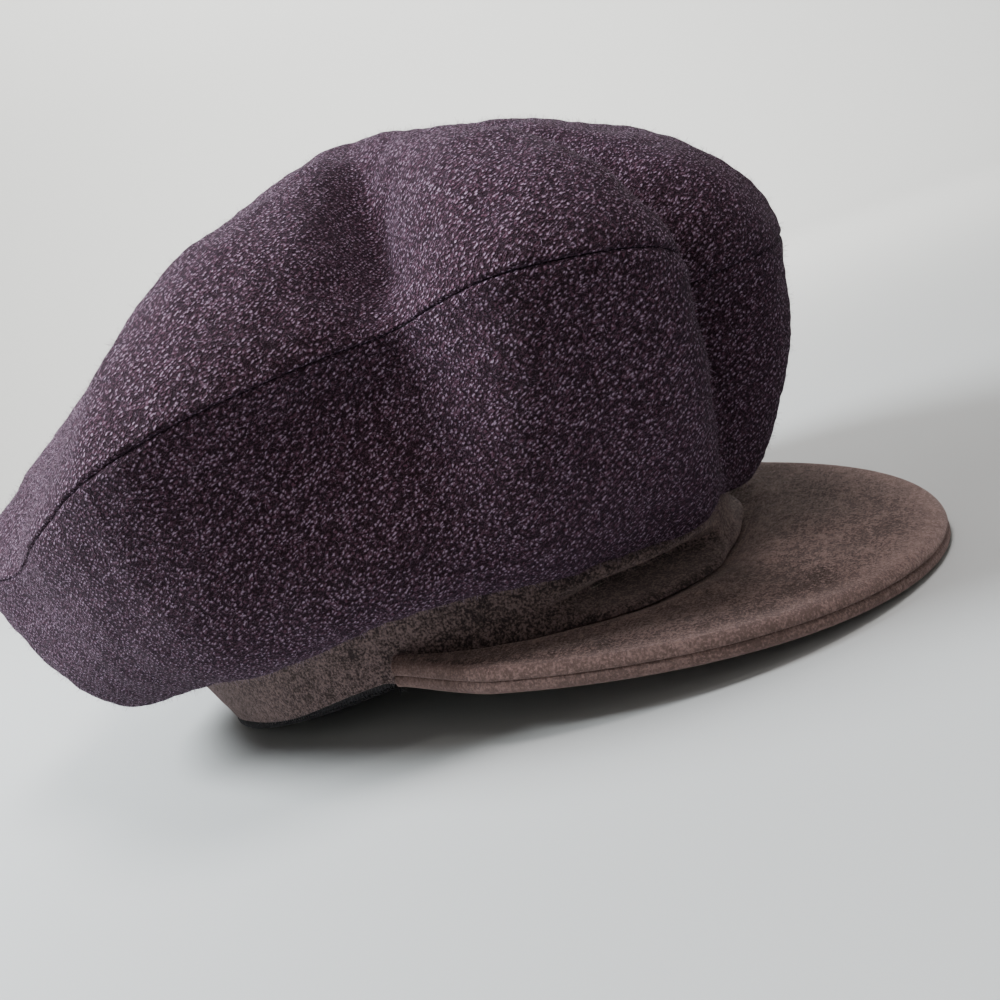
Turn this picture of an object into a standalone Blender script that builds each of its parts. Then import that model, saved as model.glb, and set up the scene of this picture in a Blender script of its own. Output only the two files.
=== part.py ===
"""A soft cap with a full round wool crown, a suede headband and a padded suede visor.

Metres, +Z up. The cap stands as it would on a table, on the visor's front edge and on the
back of its headband. Its front points towards -Y and the wearer's right is -X.
An angle round the cap is 0 at the front, 90 degrees at the wearer's right, 180 at the back.
A height on the headband is counted up from the band's own lower edge.
"""

import math

import bmesh
import bpy
import numpy as np

MM = 0.001

# Head opening: the headband's outer face at its lower edge is an ellipse.
BAND_HALF_LENGTH = 101 * MM
BAND_HALF_WIDTH = 85 * MM
BAND_HEIGHT = 24.6 * MM
BAND_FLARE = (1 * MM, 3 * MM, 12 * MM)  # how far the band's top leans out at front, side, back
BACK_RISE = math.radians(8.85)  # the band's lower edge climbs from the back to the visor's corners
FRONT_FALL = math.radians(7.87)  # and falls from there to the front, in the visor's plane
CORNER_Y = -26.5 * MM

# Layers of the band, as depths behind its outer face.
SUEDE = 1.2 * MM
STIFFENER = (1.5 * MM, 2.6 * MM)
SWEATBAND = (3.2 * MM, 4.2 * MM)
CLEARANCE = 0.3 * MM

# Crown: the rim is where the round top panel meets the side panel.
CROWN_START = 25 * MM  # height of the crown's lower edge on the band
RIM_HALF_LENGTH = 158 * MM
RIM_HALF_WIDTH = 131.5 * MM
RIM_CENTRE_Y = 14 * MM
RIM_HEIGHT = 106 * MM
RIM_WAVES = (13 * MM, -3.5 * MM, -12.5 * MM)  # once, twice and three times round
APEX_Y = -18 * MM
APEX_HEIGHT = 179 * MM
OVERHANG = (10 * MM, 37 * MM, 20 * MM)  # front, side, back
SAG = (20 * MM, 15 * MM, 14 * MM)  # how far the overhang is pulled below the band's top
SAG_CHANGES = ((113, 20, -9 * MM), (165, 24, 7 * MM), (42, 15, -6 * MM))  # angle, half-width in degrees, extra sag
BELLY = 38 * MM  # how straight the side panel comes up to the rim
BELLY_IN = 5 * MM
SHOULDER_UP = (48 * MM, 38 * MM, 24 * MM)
SHOULDER_IN = (0.0, 0.15, 0.17)
TOP_FLATNESS = 0.27
WOOL = 1.8 * MM
LINING = (3.4 * MM, 4.0 * MM)  # depths behind the wool's outer face
SEAM_GAP = 0.006  # half the gap between two panels, as a share of a panel's height
LINING_GAP = 0.018

# Folds in the crown: angle at the rim, drift per panel, level of the middle (0 at the band,
# 1 at the rim, 2 at the top), reach up and down, half-width in degrees, depth.
FOLDS = (
    (57.0, -6.0, 1.00, 0.50, 7.5, 13 * MM),
    (66.0, -6.0, 0.95, 0.50, 13.0, 18 * MM),
    (60.0, -4.0, 1.40, 0.24, 7.5, 14 * MM),
    (86.0, 0.0, 1.35, 0.25, 14.0, -5 * MM),
    (93.0, -4.0, 0.95, 0.45, 12.0, -5 * MM),
    (14.0, 8.0, 0.95, 0.55, 8.5, 30 * MM),
    (30.0, 4.0, 0.95, 0.45, 9.0, -7 * MM),
    (118.0, 6.0, 0.85, 0.35, 12.0, 5 * MM),
    (163.0, -5.0, 0.95, 0.45, 10.0, 9 * MM),
    (204.0, 6.0, 0.80, 0.40, 11.0, 8 * MM),
    (248.0, -4.0, 1.05, 0.40, 9.0, 10 * MM),
    (296.0, 5.0, 0.90, 0.45, 10.0, 9 * MM),
    (334.0, -6.0, 0.95, 0.40, 8.0, 8 * MM),
)

# Visor: heights are counted from the plane of the band's lower edge in front.
VISOR_HALF_WIDTH = 99 * MM
VISOR_TIP_Y = -167.8 * MM
VISOR_CORNER_ANGLE = math.radians(80)
VISOR_CORNER_WIDTH = 7 * MM
VISOR_ROUNDNESS = 0.85
CORNER_BLEND = 0.045
VISOR_GAP = 0.5 * MM
VISOR_TOP = 7.4 * MM
VISOR_SEAM = 3.8 * MM
VISOR_BOTTOM = -0.6 * MM
COVER = 1.0 * MM
BOARD = (0.9 * MM, 2.5 * MM)
PADDING = (2.8 * MM, 6.1 * MM)
BOARD_INSET = 3.8 * MM
PADDING_INSET = 4.6 * MM

THREAD = 0.4 * MM  # radius
AROUND = 60
PANEL_ROWS = 10
LINING_ROWS = 6
VISOR_COLUMNS = 40


def clear_scene():
    for obj in list(bpy.data.objects):
        bpy.data.objects.remove(obj)


def material(name, colour, roughness):
    made = bpy.data.materials.new(name)
    made.use_nodes = True
    shader = made.node_tree.nodes["Principled BSDF"]
    shader.inputs["Base Color"].default_value = (*colour, 1)
    shader.inputs["Roughness"].default_value = roughness
    shader.inputs["Metallic"].default_value = 0
    return made


def mesh_object(name, points, faces, surface):
    """One named object whose faces all look outward."""
    shape = bmesh.new()
    vertices = [shape.verts.new(point) for point in points]
    for face in faces:
        shape.faces.new([vertices[i] for i in face])
    bmesh.ops.recalc_face_normals(shape, faces=shape.faces)
    mesh = bpy.data.meshes.new(name)
    shape.to_mesh(mesh)
    shape.free()
    mesh.shade_smooth()
    mesh.set_sharp_from_angle(angle=math.radians(40))
    mesh.materials.append(surface)
    obj = bpy.data.objects.new(name, mesh)
    bpy.context.scene.collection.objects.link(obj)
    return obj


def grid_faces(first, columns, rows, ring):
    """Quads over a grid of points numbered column by column, closed into a ring or left open."""
    faces = []
    for i in range(columns if ring else columns - 1):
        for j in range(rows - 1):
            a = first + i * rows + j
            b = first + (i + 1) % columns * rows + j
            faces.append((a, b, b + 1, a + 1))
    return faces


def sheet_solid(name, outer, inner, surface, ring=True):
    """A closed sheet between two grids of points, each of shape (columns, rows, 3)."""
    columns, rows = outer.shape[:2]
    count = columns * rows
    points = np.concatenate([outer.reshape(-1, 3), inner.reshape(-1, 3)])
    faces = grid_faces(0, columns, rows, ring) + grid_faces(count, columns, rows, ring)
    for i in range(columns if ring else columns - 1):
        for j in (0, rows - 1):
            a = i * rows + j
            b = (i + 1) % columns * rows + j
            faces.append((a, b, b + count, a + count))
    if not ring:
        for i in (0, columns - 1):
            for j in range(rows - 1):
                a = i * rows + j
                faces.append((a, a + 1, a + 1 + count, a + count))
    return mesh_object(name, points, faces, surface)


def cap_solid(name, outer, inner, surface):
    """A closed sheet whose last row is a single point on top, outside and inside."""
    columns, rows = outer.shape[0], outer.shape[1] - 1
    count = columns * rows
    points = [*outer[:, :-1].reshape(-1, 3), *inner[:, :-1].reshape(-1, 3)]
    points += [outer[:, -1].mean(axis=0), inner[:, -1].mean(axis=0)]
    faces = grid_faces(0, columns, rows, True) + grid_faces(count, columns, rows, True)
    for i in range(columns):
        a = i * rows
        b = (i + 1) % columns * rows
        faces.append((a, b, b + count, a + count))
        for side in (0, 1):
            top = side * count + rows - 1
            faces.append((a + top, b + top, 2 * count + side))
    return mesh_object(name, points, faces, surface)


def thread_along(name, points, surface, closed, radius=THREAD):
    """A thread of square section laid along points."""
    curve = bpy.data.curves.new(name, "CURVE")
    curve.dimensions = "3D"
    curve.bevel_depth = radius
    curve.bevel_resolution = 0
    curve.use_fill_caps = True
    spline = curve.splines.new("POLY")
    spline.points.add(len(points) - 1)
    for place, point in zip(spline.points, points):
        place.co = (*point, 1)
    spline.use_cyclic_u = closed
    curve.materials.append(surface)
    obj = bpy.data.objects.new(name, curve)
    bpy.context.scene.collection.objects.link(obj)
    return obj


def front_side_back(values, angle):
    """Values at the front, sides and back, blended round the cap."""
    front, side, back = values
    ahead = np.clip(np.cos(angle), 0, 1) ** 2
    behind = np.clip(-np.cos(angle), 0, 1) ** 2
    return front * ahead + side * np.sin(angle) ** 2 + back * behind


def edge_height(y):
    """Height of the band's lower edge above the table."""
    climb = math.tan(BACK_RISE) * (BAND_HALF_LENGTH - y)
    top = math.tan(BACK_RISE) * (BAND_HALF_LENGTH - CORNER_Y)
    fall = top - math.tan(FRONT_FALL) * (CORNER_Y - y)
    return np.minimum(climb, fall)


def outward(angle):
    """Level unit vectors that point away from the band."""
    normal = np.stack(
        [-np.sin(angle) / BAND_HALF_WIDTH, -np.cos(angle) / BAND_HALF_LENGTH, 0 * angle], -1
    )
    return normal / np.linalg.norm(normal, axis=-1, keepdims=True)


def on_band(angle, height, depth=0.0):
    """Points at a height on the band and a depth behind its outer face."""
    x = -BAND_HALF_WIDTH * np.sin(angle)
    y = -BAND_HALF_LENGTH * np.cos(angle)
    points = np.stack([x, y, edge_height(y) + height], -1)
    lean = front_side_back(BAND_FLARE, angle) * height / BAND_HEIGHT
    return points + outward(angle) * (lean - depth)[..., None]


def bezier(p0, p1, p2, p3, share):
    return (
        (1 - share) ** 3 * p0
        + 3 * share * (1 - share) ** 2 * p1
        + 3 * share**2 * (1 - share) * p2
        + share**3 * p3
    )


def sag(angle):
    """How far the lower edge of the crown is pulled down, the same on both sides."""
    turned = np.abs(np.degrees((angle + np.pi) % (2 * np.pi) - np.pi))
    changes = sum(size * np.exp(-(((turned - at) / width) ** 2)) for at, width, size in SAG_CHANGES)
    return front_side_back(SAG, angle) + changes


def smooth_crown(angle, level):
    """The crown without its folds. Level is 0 at the band, 1 at the rim and 2 at the top."""
    up = np.array([0.0, 0.0, 1.0])
    away = outward(angle)
    start = on_band(angle, CROWN_START, -0.5 * MM)
    waves = sum(size * np.cos((k + 1) * angle) for k, size in enumerate(RIM_WAVES))
    rim = np.stack(
        [
            -RIM_HALF_WIDTH * np.sin(angle),
            RIM_CENTRE_Y - RIM_HALF_LENGTH * np.cos(angle),
            RIM_HEIGHT + waves,
        ],
        -1,
    )
    apex = np.array([0.0, APEX_Y, APEX_HEIGHT])
    level_in = (apex - rim) * np.array([1.0, 1.0, 0.0])
    low = start + away * front_side_back(OVERHANG, angle)[..., None]
    low = low - up * sag(angle)[..., None]
    under = rim - away * BELLY_IN - up * BELLY
    over = rim + level_in * front_side_back(SHOULDER_IN, angle)[..., None]
    over = over + up * front_side_back(SHOULDER_UP, angle)[..., None]
    near_top = apex - level_in * TOP_FLATNESS
    side = bezier(start, low, under, rim, np.clip(level, 0, 1)[..., None])
    top = bezier(rim, over, near_top, apex, np.clip(level - 1, 0, 1)[..., None])
    return np.where(level[..., None] <= 1, side, top)


def normals(surface, angle, level, rise):
    """Outward unit normals of a crown surface, over a step up that mitres the corner at the rim."""
    turn = 0.01
    level = np.minimum(level, 1.99)
    round_it = surface(angle + turn, level) - surface(angle - turn, level)
    low, high = np.maximum(level - rise, 0), np.minimum(level + rise, 1.995)
    normal = np.cross(surface(angle, high) - surface(angle, low), round_it)
    normal = normal / np.linalg.norm(normal, axis=-1, keepdims=True)
    near_top = np.clip((level - 1.8) / 0.19, 0, 1)[..., None]
    return normal * (1 - near_top) + np.array([0.0, 0.0, 1.0]) * near_top


def fold_depth(angle, level):
    """How far the folds press the crown in."""
    depth = 0 * angle
    for rim_angle, drift, middle, reach, width, size in FOLDS:
        centre = np.radians(rim_angle + drift * (level - 1))
        apart = np.degrees((angle - centre + np.pi) % (2 * np.pi) - np.pi)
        depth = depth + size * np.exp(-((apart / width) ** 2) - ((level - middle) / reach) ** 2)
    near_top = np.clip((2 - level) / 0.4, 0, 1)
    return depth * near_top * near_top * (3 - 2 * near_top)


def folded_crown(angle, level):
    """The crown's outer face with its folds pressed in."""
    inward = normals(smooth_crown, angle, level, 0.3)
    return smooth_crown(angle, level) - inward * fold_depth(angle, level)[..., None]


def crown(angle, level, depth=0.0):
    """The crown's outer face, or a face at a depth behind it."""
    return folded_crown(angle, level) - normals(folded_crown, angle, level, 0.06) * depth


def angles():
    return np.linspace(0, 2 * np.pi, AROUND, endpoint=False)


def crown_grid(low, high, rows, depth):
    angle, level = np.meshgrid(angles(), np.linspace(low, high, rows + 1), indexing="ij")
    return crown(angle, level, depth)


def band_grid(low, high, rows, depth):
    angle, height = np.meshgrid(angles(), np.linspace(low, high, rows + 1), indexing="ij")
    return on_band(angle, height, depth)


def make_crown(wool, thread):
    below, above = 1 - SEAM_GAP, 1 + SEAM_GAP
    side = [crown_grid(0, below, PANEL_ROWS, depth) for depth in (0, WOOL)]
    sheet_solid("crown_side", *side, wool)
    tip = [crown_grid(above, 2, PANEL_ROWS, depth) for depth in (0, WOOL)]
    cap_solid("crown_tip", *tip, wool)
    behind = (WOOL + LINING[0]) / 2
    ring = angles()
    thread_along("rim_seam_thread", crown(ring, 0 * ring + 1, behind), thread, True)
    rise = np.linspace(0.12, 0.9, 14)
    back = crown(0 * rise + math.pi, rise, behind)
    thread_along("back_seam_thread", back, thread, False)


def make_lining(cloth, thread):
    below, above = 1 - LINING_GAP, 1 + LINING_GAP
    side = [crown_grid(0.02, below, LINING_ROWS, depth) for depth in LINING]
    sheet_solid("lining_side", *side, cloth)
    tip = [crown_grid(above, 2, LINING_ROWS, depth) for depth in LINING]
    cap_solid("lining_tip", *tip, cloth)
    behind = LINING[1] + 4 * CLEARANCE + THREAD
    ring = angles()
    thread_along("lining_seam_thread", crown(ring, 0 * ring + 1, behind), thread, True)


def make_band(suede, canvas, inner, thread):
    faces = [band_grid(0, BAND_HEIGHT, 3, depth) for depth in (0, SUEDE)]
    sheet_solid("headband", *faces, suede)
    faces = [band_grid(3.5 * MM, 22 * MM, 2, depth) for depth in STIFFENER]
    sheet_solid("band_stiffener", *faces, canvas)
    faces = [band_grid(CLEARANCE, 29 * MM, 3, depth) for depth in SWEATBAND]
    sheet_solid("sweatband", *faces, inner)
    ring = angles()
    places = {
        "edge_overlock_thread": (1.0 * MM, 2.1 * MM),
        "crown_band_thread": (24.8 * MM, 2.2 * MM),
        "sweatband_thread": (2.0 * MM, SWEATBAND[1] + CLEARANCE + THREAD),
    }
    for name, (height, depth) in places.items():
        thread_along(name, on_band(ring, 0 * ring + height, depth), thread, True)
    half = np.linspace(-VISOR_CORNER_ANGLE, VISOR_CORNER_ANGLE, 28)
    row = on_band(half, 0 * half + 2.6 * MM, 2.1 * MM)
    thread_along("visor_attach_thread", row, thread, False, 0.3 * MM)


def make_size_tab(cloth):
    """A blank folded ribbon tab inside the back of the sweatband."""
    angle, height = np.meshgrid(
        np.radians(np.linspace(176, 184, 5)), np.linspace(8 * MM, 24 * MM, 4), indexing="ij"
    )
    near = SWEATBAND[1] + CLEARANCE
    faces = [on_band(angle, height, near + depth) for depth in (0, 0.5 * MM)]
    sheet_solid("size_tab", *faces, cloth, ring=False)


def visor_shares():
    """Steps across the visor from corner to corner, closer together at the corners."""
    even = np.linspace(0, 1, VISOR_COLUMNS + 1)
    return even - 0.85 * np.sin(2 * np.pi * even) / (2 * np.pi)


def visor_inner(share):
    angle = VISOR_CORNER_ANGLE * (1 - 2 * share)
    points = on_band(angle, 0 * angle + VISOR_TOP, -VISOR_GAP)
    points[..., 2] = 0
    return points


def visor_outer(share):
    """The visor's outline, level, blended into the band at its corners."""
    turn = np.pi * share
    reach = np.abs(np.sin(turn)) ** VISOR_ROUNDNESS
    curve = np.stack(
        [-VISOR_HALF_WIDTH * np.cos(turn), CORNER_Y + (VISOR_TIP_Y - CORNER_Y) * reach, 0 * turn], -1
    )
    angle = VISOR_CORNER_ANGLE * (1 - 2 * share)
    corner = visor_inner(share) + outward(angle) * VISOR_CORNER_WIDTH
    blend = np.clip(np.minimum(share, 1 - share) / CORNER_BLEND, 0, 1)[..., None]
    blend = blend * blend * (3 - 2 * blend)
    return corner * (1 - blend) + curve * blend


def visor_sheet(profile):
    """Points over the visor. The profile lists (share of the width, shift outward, height)."""
    share = visor_shares()
    inner, outer = visor_inner(share), visor_outer(share)
    across = outer - inner
    unit = across / np.linalg.norm(across, axis=-1, keepdims=True)
    rows = []
    for part, shift, height in profile:
        row = inner + across * part + unit * shift
        top = math.tan(BACK_RISE) * (BAND_HALF_LENGTH - CORNER_Y)
        row[:, 2] = top - math.tan(FRONT_FALL) * (CORNER_Y - row[:, 1]) + height
        rows.append(row)
    return np.stack(rows, 1)


def top_cover_profile(skin):
    """Flat above, then a quarter round down to the seam."""
    radius = VISOR_TOP - VISOR_SEAM
    turns = np.radians(np.linspace(0, 90, 6))
    flat = [(0, 0, VISOR_TOP - skin)]
    flat += [(part, -radius * part, VISOR_TOP - skin) for part in (0.35, 0.7)]
    edge = []
    for turn in turns:
        shift = -radius + (radius - skin) * math.sin(turn)
        height = VISOR_SEAM + 0.2 * MM + (radius - 0.2 * MM - skin) * math.cos(turn)
        edge.append((1, shift, height))
    return flat + edge


def under_cover_profile(skin):
    """Flat below, then rolled up round the edge to the seam."""
    radius = (VISOR_SEAM - VISOR_BOTTOM) / 2 - 0.1 * MM
    turns = np.radians(np.linspace(-90, 80, 8))
    flat = [(0, 0, VISOR_BOTTOM + skin)]
    flat += [(part, -radius * part, VISOR_BOTTOM + skin) for part in (0.35, 0.7)]
    edge = []
    for turn in turns:
        shift = -radius + (radius - skin) * math.cos(turn)
        height = VISOR_BOTTOM + radius + (radius - skin) * math.sin(turn)
        edge.append((1, shift, height))
    return flat + edge


def make_visor(suede, board, foam, thread):
    faces = [visor_sheet(top_cover_profile(skin)) for skin in (0, COVER)]
    sheet_solid("visor_cover_top", *faces, suede, ring=False)
    faces = [visor_sheet(under_cover_profile(skin)) for skin in (0, COVER)]
    sheet_solid("visor_cover_under", *faces, suede, ring=False)
    plates = (("visor_board", BOARD, BOARD_INSET, board), ("visor_padding", PADDING, PADDING_INSET, foam))
    for name, heights, inset, surface in plates:
        faces = []
        for height in heights:
            faces.append(visor_sheet([(0, 0.2 * MM, height), (0.5, 0, height), (1, -inset, height)]))
        sheet_solid(name, *faces, surface, ring=False)
    row = visor_sheet([(1, -2.8 * MM, VISOR_SEAM)])[2:-2, 0]
    thread_along("visor_edge_thread", row, thread, False, 0.25 * MM)


def main():
    clear_scene()
    wool = material("plum_wool", (0.085, 0.055, 0.075), 0.95)
    suede = material("taupe_suede", (0.095, 0.070, 0.062), 0.9)
    black_thread = material("black_thread", (0.01, 0.01, 0.012), 0.7)
    lining = material("dark_lining", (0.025, 0.022, 0.028), 0.6)
    canvas = material("stiffener_canvas", (0.35, 0.32, 0.27), 0.9)
    inner = material("sweatband_cloth", (0.02, 0.019, 0.022), 0.8)
    board = material("visor_board", (0.45, 0.40, 0.32), 0.8)
    foam = material("visor_foam", (0.6, 0.58, 0.52), 0.95)
    tab = material("blank_ribbon", (0.05, 0.048, 0.055), 0.6)
    make_crown(wool, black_thread)
    make_lining(lining, black_thread)
    make_band(suede, canvas, inner, black_thread)
    make_size_tab(tab)
    make_visor(suede, board, foam, black_thread)


main()
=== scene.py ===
"""The looks of a soft cap with a round wool crown, a suede headband and a padded suede visor.

Metres, +Z up, the cap's front towards -Y and the wearer's right towards -X.
An angle round the cap is 0 at the front and 90 degrees at the wearer's right.
"""

import math

import bmesh
import bpy
import numpy as np
from bpy.props import FloatProperty, FloatVectorProperty, IntProperty, PointerProperty
from mathutils import Matrix, Vector


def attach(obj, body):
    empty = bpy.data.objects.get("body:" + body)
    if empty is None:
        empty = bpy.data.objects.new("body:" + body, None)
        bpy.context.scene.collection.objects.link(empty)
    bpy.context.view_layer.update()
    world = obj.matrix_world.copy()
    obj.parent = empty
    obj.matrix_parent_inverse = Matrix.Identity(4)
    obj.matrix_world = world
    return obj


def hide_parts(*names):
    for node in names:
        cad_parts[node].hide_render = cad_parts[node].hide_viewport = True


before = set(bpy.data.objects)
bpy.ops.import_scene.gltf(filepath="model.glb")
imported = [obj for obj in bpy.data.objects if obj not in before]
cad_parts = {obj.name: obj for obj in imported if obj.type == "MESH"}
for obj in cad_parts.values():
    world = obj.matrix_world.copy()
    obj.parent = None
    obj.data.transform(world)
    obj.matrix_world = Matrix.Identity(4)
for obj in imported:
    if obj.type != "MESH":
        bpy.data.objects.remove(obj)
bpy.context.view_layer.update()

bl_info = {
    "name": "Baker-boy cap",
    "version": (1, 0, 0),
    "blender": (4, 5, 0),
    "location": "3D Viewport > Sidebar > Cap",
    "description": "Builds the wool crown, suede band and padded visor of a soft cap",
    "category": "Object",
}

MM = 0.001

# The band, as the solid parts have it.
BAND_HALF_LENGTH = 101 * MM
BAND_HALF_WIDTH = 85 * MM
BAND_HEIGHT = 24.6 * MM
BAND_FLARE = (1 * MM, 3 * MM, 12 * MM)
BACK_RISE = math.radians(8.85)
FRONT_FALL = math.radians(7.87)
CORNER_Y = -26.5 * MM
SUEDE = 1.2 * MM
STIFFENER = (1.5 * MM, 2.6 * MM)
SWEATBAND = (3.2 * MM, 4.2 * MM)

# The crown.
CROWN_START = 25 * MM
RIM_HALF_LENGTH = 158 * MM
RIM_HALF_WIDTH = 131.5 * MM
RIM_CENTRE_Y = 14 * MM
RIM_HEIGHT = 106 * MM
RIM_WAVES = (13 * MM, -3.5 * MM, -12.5 * MM)
APEX_Y = -18 * MM
APEX_HEIGHT = 179 * MM
OVERHANG = (10 * MM, 37 * MM, 20 * MM)
SAG = (20 * MM, 15 * MM, 14 * MM)
SAG_CHANGES = ((113, 20, -9 * MM), (165, 24, 7 * MM), (42, 15, -6 * MM))
BELLY = 38 * MM
BELLY_IN = 5 * MM
SHOULDER_UP = (48 * MM, 38 * MM, 24 * MM)
SHOULDER_IN = (0.0, 0.15, 0.17)
TOP_FLATNESS = 0.27
WOOL = 1.8 * MM
LINING = (3.4 * MM, 4.0 * MM)
FOLDS = (
    (57.0, -6.0, 1.00, 0.50, 7.5, 13 * MM),
    (66.0, -6.0, 0.95, 0.50, 13.0, 18 * MM),
    (60.0, -4.0, 1.40, 0.24, 7.5, 14 * MM),
    (86.0, 0.0, 1.35, 0.25, 14.0, -5 * MM),
    (93.0, -4.0, 0.95, 0.45, 12.0, -5 * MM),
    (14.0, 8.0, 0.95, 0.55, 8.5, 30 * MM),
    (30.0, 4.0, 0.95, 0.45, 9.0, -7 * MM),
    (118.0, 6.0, 0.85, 0.35, 12.0, 5 * MM),
    (163.0, -5.0, 0.95, 0.45, 10.0, 9 * MM),
    (204.0, 6.0, 0.80, 0.40, 11.0, 8 * MM),
    (248.0, -4.0, 1.05, 0.40, 9.0, 10 * MM),
    (296.0, 5.0, 0.90, 0.45, 10.0, 9 * MM),
    (334.0, -6.0, 0.95, 0.40, 8.0, 8 * MM),
)

# The visor.
VISOR_HALF_WIDTH = 99 * MM
VISOR_TIP_Y = -167.8 * MM
VISOR_CORNER_ANGLE = math.radians(80)
VISOR_CORNER_WIDTH = 7 * MM
VISOR_ROUNDNESS = 0.85
CORNER_BLEND = 0.045
VISOR_GAP = 0.5 * MM
VISOR_TOP = 7.4 * MM
VISOR_SEAM = 3.8 * MM
VISOR_BOTTOM = -0.6 * MM
COVER = 1.0 * MM
PADDING_BOTTOM = 2.8 * MM

# The light falls on the wool in slanting rows, which run along ROW and are stacked along STACK.
ROW = Vector((0.479, -0.728, 0.490)).normalized()
STACK = Vector((-0.084, 0.517, 0.852)).normalized()


# ---------------------------------------------------------------- settings


def length(label, text, value, least, most):
    """A length setting, given in millimetres."""
    return FloatProperty(
        name=label, description=text, default=value * MM, min=least * MM, max=most * MM,
        subtype="DISTANCE", unit="LENGTH",
    )


class CapSizes(bpy.types.PropertyGroup):
    """Sizes that change the cap's look and not its pattern"""

    columns: IntProperty(
        name="Columns", description="Steps round the crown and the band", default=480, min=60, max=600
    )
    lip: length("Seam lip", "How far a panel rolls in beside its seam", 2.2, 0.2, 4)
    slub: length("Slub", "Unevenness of the wool's surface", 0.16, 0, 1)
    curl: length("Curl pitch", "Distance between two curls of the yarn", 0.95, 0.5, 4)
    fibre_length: length("Fibre length", "Usual length of a loose fibre", 1.9, 0.2, 6)
    fibre_density: FloatProperty(
        name="Fibres", description="Loose fibres on each square metre of wool",
        default=140000, min=0, max=400000,
    )
    stitch: length("Stitch pitch", "Distance from one stitch to the next", 3.2, 1, 8)
    overlock: length("Overlock pitch", "Distance between two loops of the edge binding", 1.25, 0.8, 4)
    puff: length("Visor puff", "How far the padding lifts the middle of the visor", 0.7, 0, 3)


def colour(label, text, value):
    return FloatVectorProperty(
        name=label, description=text, default=value, size=3, min=0, max=1, subtype="COLOR"
    )


class CapColours(bpy.types.PropertyGroup):
    """Colours of the cap's cloths, skins and threads"""

    wool: colour("Wool", "Body colour of the yarn", (0.080, 0.032, 0.052))
    # Painted highlight on the curl tops; the same colour also serves the pale stray and loose fibres.
    wool_highlight_and_pale_fibre: colour("Yarn tips", "Colour where a curl of yarn catches the light", (0.400, 0.285, 0.395))
    # Painted shade: the near-black colour put into the pits between the curls.
    wool_pit_shade: colour("Wool pits", "Colour between the curls", (0.012, 0.003, 0.006))
    # Partly the band suede's own colour and partly painted light: set paler to make up for the crown's shadow
    # on the band.
    band: colour("Band suede", "Suede of the headband", (0.120, 0.090, 0.096))
    visor: colour("Visor suede", "Suede of the visor", (0.062, 0.030, 0.025))
    nap: colour("Suede nap", "Colour of the suede's raised nap", (0.235, 0.155, 0.140))
    thread: colour("Thread", "Sewing thread", (0.008, 0.007, 0.008))
    lining: colour("Lining", "Smooth lining of the crown", (0.020, 0.017, 0.024))
    sweatband: colour("Sweatband", "Woven band inside", (0.016, 0.014, 0.017))


def sizes():
    return bpy.context.scene.cap_sizes


def colours():
    return bpy.context.scene.cap_colours


# ---------------------------------------------------------------- shape of the cap


def front_side_back(values, angle):
    """Values at the front, sides and back, blended round the cap."""
    front, side, back = values
    ahead = np.clip(np.cos(angle), 0, 1) ** 2
    behind = np.clip(-np.cos(angle), 0, 1) ** 2
    return front * ahead + side * np.sin(angle) ** 2 + back * behind


def edge_height(y):
    """Height of the band's lower edge above the table."""
    climb = math.tan(BACK_RISE) * (BAND_HALF_LENGTH - y)
    top = math.tan(BACK_RISE) * (BAND_HALF_LENGTH - CORNER_Y)
    return np.minimum(climb, top - math.tan(FRONT_FALL) * (CORNER_Y - y))


def outward(angle):
    """Level unit vectors that point away from the band."""
    normal = np.stack(
        [-np.sin(angle) / BAND_HALF_WIDTH, -np.cos(angle) / BAND_HALF_LENGTH, 0 * angle], -1
    )
    return normal / np.linalg.norm(normal, axis=-1, keepdims=True)


def on_band(angle, height, depth=0.0):
    """Points at a height on the band and a depth behind its outer face."""
    points = np.stack(
        [-BAND_HALF_WIDTH * np.sin(angle), -BAND_HALF_LENGTH * np.cos(angle), 0 * angle], -1
    )
    points[..., 2] = edge_height(points[..., 1]) + height
    lean = front_side_back(BAND_FLARE, angle) * height / BAND_HEIGHT
    return points + outward(angle) * (lean - depth)[..., None]


def bezier(p0, p1, p2, p3, share):
    rest = 1 - share
    return rest**3 * p0 + 3 * share * rest**2 * p1 + 3 * share**2 * rest * p2 + share**3 * p3


def sag(angle):
    """How far the lower edge of the crown is pulled down, the same on both sides."""
    turned = np.abs(np.degrees((angle + np.pi) % (2 * np.pi) - np.pi))
    changes = sum(size * np.exp(-(((turned - at) / width) ** 2)) for at, width, size in SAG_CHANGES)
    return front_side_back(SAG, angle) + changes


def smooth_crown(angle, level):
    """The crown without its folds. Level is 0 at the band, 1 at the rim and 2 at the top."""
    up = np.array([0.0, 0.0, 1.0])
    away = outward(angle)
    start = on_band(angle, CROWN_START, -0.5 * MM)
    waves = sum(size * np.cos((k + 1) * angle) for k, size in enumerate(RIM_WAVES))
    rim = np.stack(
        [
            -RIM_HALF_WIDTH * np.sin(angle),
            RIM_CENTRE_Y - RIM_HALF_LENGTH * np.cos(angle),
            RIM_HEIGHT + waves,
        ],
        -1,
    )
    apex = np.array([0.0, APEX_Y, APEX_HEIGHT])
    level_in = (apex - rim) * np.array([1.0, 1.0, 0.0])
    low = start + away * front_side_back(OVERHANG, angle)[..., None]
    low = low - up * sag(angle)[..., None]
    under = rim - away * BELLY_IN - up * BELLY
    over = rim + level_in * front_side_back(SHOULDER_IN, angle)[..., None]
    over = over + up * front_side_back(SHOULDER_UP, angle)[..., None]
    near_top = apex - level_in * TOP_FLATNESS
    side = bezier(start, low, under, rim, np.clip(level, 0, 1)[..., None])
    top = bezier(rim, over, near_top, apex, np.clip(level - 1, 0, 1)[..., None])
    return np.where(level[..., None] <= 1, side, top)


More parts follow.
